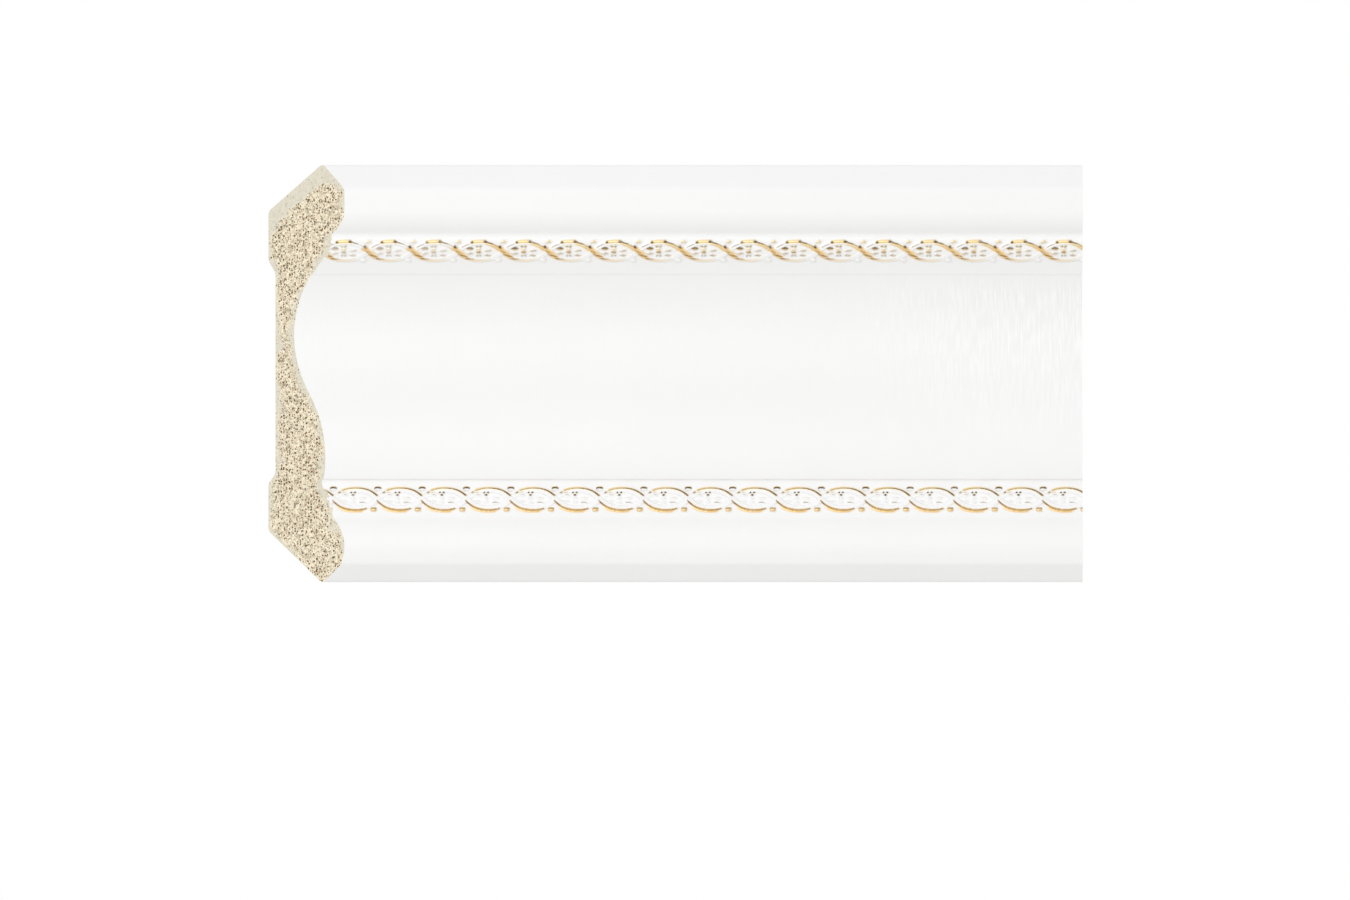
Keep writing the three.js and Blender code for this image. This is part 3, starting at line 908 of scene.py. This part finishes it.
def sawn_foam():
    # Matt biscuit-coloured foam, peppered with brown pores of two sizes, some nearly black and some
    # reddish, that thin out into a smoother grey rim along the skin. The pits sunk into the mesh are also
    # darkened towards the pore colour as painted shade.
    material, tree, surface = new_material("sawn_polystyrene_foam")
    where = add(tree, "ShaderNodeTexCoord").outputs["Object"]
    rim = add(tree, "ShaderNodeAttribute", attribute_name="rim").outputs["Fac"]
    pit = add(tree, "ShaderNodeAttribute", attribute_name="pore").outputs["Fac"]
    # The rim's inner edge wanders by a millimetre or two
    drift = add(tree, "ShaderNodeTexNoise", {"Vector": where, "Scale": 1 / (RIM_DRIFT * MM), "Detail": 2})
    wander = add(tree, "ShaderNodeMath", {
        0: drift.outputs[0], 1: RIM_WANDER, 2: RIM_WANDER_FROM,
    }, operation="MULTIPLY_ADD")
    # It is narrower at the lower end
    axes = add(tree, "ShaderNodeSeparateXYZ", {"Vector": where}).outputs
    lower = add(tree, "ShaderNodeMapRange", {
        "Value": axes["Z"], "From Min": LOWER_END[0] * MM, "From Max": LOWER_END[1] * MM,
        "To Max": LOWER_END_NARROWER,
    })
    bare = add(tree, "ShaderNodeMath", {0: wander.outputs[0], 1: lower.outputs[0]}, operation="ADD")
    # It is broadest under the upper glue face
    rise = add(tree, "ShaderNodeVectorMath", {0: where, 1: CEILING_NORMAL}, operation="DOT_PRODUCT")
    upper = add(tree, "ShaderNodeMapRange", {
        "Value": rise.outputs["Value"], "From Min": CEILING_RISE - UNDER_CEILING_FACE[0] * MM,
        "From Max": CEILING_RISE - UNDER_CEILING_FACE[1] * MM, "To Max": -UNDER_CEILING_BROADER,
    })
    broad = add(tree, "ShaderNodeMath", {0: bare.outputs[0], 1: upper.outputs[0]}, operation="ADD")
    edge = add(tree, "ShaderNodeMath", {0: rim, 1: broad.outputs[0]}, operation="ADD")
    inner = add(tree, "ShaderNodeMapRange", {
        "Value": edge.outputs[0], "From Min": RIM_END[0], "From Max": RIM_END[1],
    })
    # Pores: the middles of scattered cells, of which a share stays closed, more towards the rim
    marks = []
    for size, share, radius, rare in PORES:
        cells = add(tree, "ShaderNodeTexVoronoi", {"Vector": where, "Scale": 1 / (size * MM)})
        chance = add(tree, "ShaderNodeSeparateColor", {0: cells.outputs["Color"]}).outputs
        spot = add(tree, "ShaderNodeMapRange", {
            "Value": cells.outputs["Distance"], "From Min": radius, "From Max": radius * 0.7,
        })
        closed = add(tree, "ShaderNodeMath", {
            0: inner.outputs[0], 1: rare, 2: -rare,
        }, operation="MULTIPLY_ADD")
        luck = add(tree, "ShaderNodeMath", {0: chance[0], 1: closed.outputs[0]}, operation="ADD")
        is_open = add(tree, "ShaderNodeMapRange", {
            "Value": luck.outputs[0], "From Min": share, "From Max": share + 0.25,
        })
        mark = add(tree, "ShaderNodeMath", {
            0: spot.outputs[0], 1: is_open.outputs[0],
        }, operation="MULTIPLY")
        marks.append((mark.outputs[0], chance))
    pores = add(tree, "ShaderNodeMath", {0: marks[0][0], 1: marks[1][0]}, operation="MAXIMUM")
    # Painted shade in the pits sunk into the mesh, by half their size, away from the rim
    sunk = add(tree, "ShaderNodeMath", {0: pit, 1: inner.outputs[0]}, operation="MULTIPLY")
    painted_pit_shade = add(tree, "ShaderNodeMath", {0: sunk.outputs[0], 1: 0.5}, operation="MULTIPLY")
    pores = add(tree, "ShaderNodeMath", {0: pores.outputs[0], 1: painted_pit_shade.outputs[0]}, operation="MAXIMUM")
    deep = add(tree, "ShaderNodeMapRange", {"Value": marks[0][1][1], "From Min": 0.3, "From Max": 1})
    red = add(tree, "ShaderNodeMapRange", {"Value": marks[0][1][2], "From Min": 0.66, "From Max": 0.9})
    brown = add(tree, "ShaderNodeMix", {
        SHARE: deep.outputs[0], COLOUR_A: linear("#705628"), COLOUR_B: linear("#241904"),
    }, data_type="RGBA")
    pore_colour = add(tree, "ShaderNodeMix", {
        SHARE: red.outputs[0], COLOUR_A: brown.outputs[MIXED], COLOUR_B: linear("#7c4a26"),
    }, data_type="RGBA")
    grain = add(tree, "ShaderNodeTexNoise", {"Vector": where, "Scale": 1 / (FOAM_SPECKLE * MM), "Detail": 3})
    light = add(tree, "ShaderNodeMapRange", {"Value": grain.outputs[0], "From Min": 0.36, "From Max": 0.6})
    body = add(tree, "ShaderNodeMix", {
        SHARE: light.outputs[0], COLOUR_A: linear("#d8c8a7"), COLOUR_B: linear("#fff5de"),
    }, data_type="RGBA")
    skin = add(tree, "ShaderNodeMix", {
        SHARE: light.outputs[0], COLOUR_A: linear("#d6d0be"), COLOUR_B: linear("#e4decd"),
    }, data_type="RGBA")
    cut = add(tree, "ShaderNodeMix", {
        SHARE: inner.outputs[0], COLOUR_A: skin.outputs[MIXED], COLOUR_B: body.outputs[MIXED],
    }, data_type="RGBA")
    colour = add(tree, "ShaderNodeMix", {
        SHARE: pores.outputs[0], COLOUR_A: cut.outputs[MIXED], COLOUR_B: pore_colour.outputs[MIXED],
    }, data_type="RGBA")
    relief = add(tree, "ShaderNodeMath", {0: grain.outputs[0], 1: pores.outputs[0]}, operation="SUBTRACT")
    bump = add(tree, "ShaderNodeBump", {"Height": relief.outputs[0], "Strength": 0.4, "Distance": 0.2 * MM})
    tree.links.new(colour.outputs[MIXED], surface.inputs["Base Color"])
    tree.links.new(bump.outputs[0], surface.inputs["Normal"])
    surface.inputs["Roughness"].default_value = 0.9
    surface.inputs["IOR"].default_value = 1.45
    return material


def extruded_skin():
    # The uncoated back: a cream foam skin with faint lines drawn along it by the die.
    material, tree, surface = new_material("extruded_foam_skin")
    where = add(tree, "ShaderNodeTexCoord").outputs["Object"]
    stretched = add(tree, "ShaderNodeMapping", {"Vector": where, "Scale": (0.01, 1, 1)})
    lines = add(tree, "ShaderNodeTexNoise", {
        "Vector": stretched.outputs[0], "Scale": 1 / (DIE_LINE * MM), "Detail": 3,
    })
    cloud = add(tree, "ShaderNodeTexNoise", {"Vector": where, "Scale": 1 / (SKIN_CLOUD * MM), "Detail": 2})
    blend = add(tree, "ShaderNodeMath", {
        0: cloud.outputs[0], 1: 0.3, 2: lines.outputs[0],
    }, operation="MULTIPLY_ADD")
    shade = add(tree, "ShaderNodeMapRange", {"Value": blend.outputs[0], "From Min": 0.45, "From Max": 0.85})
    colour = add(tree, "ShaderNodeMix", {
        SHARE: shade.outputs[0], COLOUR_A: linear("#e3dac7"), COLOUR_B: linear("#ece5d5"),
    }, data_type="RGBA")
    bump = add(tree, "ShaderNodeBump", {"Height": lines.outputs[0], "Strength": 0.25, "Distance": 0.1 * MM})
    tree.links.new(colour.outputs[MIXED], surface.inputs["Base Color"])
    tree.links.new(bump.outputs[0], surface.inputs["Normal"])
    surface.inputs["Roughness"].default_value = 0.6
    surface.inputs["IOR"].default_value = 1.55
    return material


def studio_floor():
    # A matt near-white ground that only sends soft light back up
    material, _, surface = new_material("pale_studio_floor")
    surface.inputs["Base Color"].default_value = linear("#ececea")
    surface.inputs["Roughness"].default_value = 0.95
    return material


# Stage, light and camera

FLOOR_DROP = 0.32
FLOOR_HALF = 2.4
HORIZON = 0.04
ZENITH = 0.78
KEY_WATTS = 12.8
KEY_SIZE = 1.6
KEY_PLACE = (-1.0, -2.4, 0.5)
LENS = 600
SENSOR = 36
FRAME_WIDTH = 0.4868
FRAME_CENTRE = (0, -0.012, 0.0387)


def build_stage():
    """A floor well below the moulding, out of the picture."""
    square = ((-1, -1), (1, -1), (1, 1), (-1, 1))
    corners = [(x * FLOOR_HALF, y * FLOOR_HALF, -FLOOR_DROP) for x, y in square]
    mesh = bpy.data.meshes.new("floor")
    mesh.from_pydata(corners, [], [(0, 1, 2, 3)])
    mesh.materials.append(studio_floor())
    floor = bpy.data.objects.new("floor", mesh)
    scene.collection.objects.link(floor)


def build_light():
    """A white surround, a little dimmer overhead, and a softbox at the front left."""
    world = bpy.data.worlds.new("white_studio")
    world.use_nodes = True
    tree = world.node_tree
    where = add(tree, "ShaderNodeTexCoord").outputs["Generated"]
    axes = add(tree, "ShaderNodeSeparateXYZ", {"Vector": where}).outputs
    glow = add(tree, "ShaderNodeMapRange", {
        "Value": axes["Z"], "From Min": HORIZON, "From Max": 1, "To Min": 1, "To Max": ZENITH,
    })
    tree.links.new(glow.outputs[0], tree.nodes["Background"].inputs["Strength"])
    tree.nodes["Background"].inputs["Color"].default_value = (1, 1, 1, 1)
    scene.world = world
    key = bpy.data.lights.new("front_softbox", "AREA")
    key.size = KEY_SIZE
    key.energy = KEY_WATTS
    lamp = bpy.data.objects.new("front_softbox", key)
    lamp.location = KEY_PLACE
    lamp.rotation_euler = (Vector(FRAME_CENTRE) - lamp.location).to_track_quat("-Z", "Y").to_euler()
    scene.collection.objects.link(lamp)


def build_camera():
    """A long lens square to the face, so that hardly any perspective shows."""
    data = bpy.data.cameras.new("camera")
    data.lens = LENS
    data.sensor_width = SENSOR
    camera = bpy.data.objects.new("camera", data)
    camera.location = Vector(FRAME_CENTRE) - Vector((0, FRAME_WIDTH * LENS / SENSOR, 0))
    camera.rotation_euler = (math.pi / 2, 0, 0)
    scene.collection.objects.link(camera)
    scene.camera = camera


scene = bpy.context.scene
scene.view_settings.view_transform = "Standard"
scene.view_settings.look = "None"

moulding = bpy.data.objects.new(
    "crown_moulding_dressed",
    moulding_mesh([pearl_coat_with_gold_foil(), sawn_foam(), extruded_skin()]),
)
scene.collection.objects.link(moulding)
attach(moulding, "root")
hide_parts("crown_moulding")

build_stage()
build_light()
build_camera()
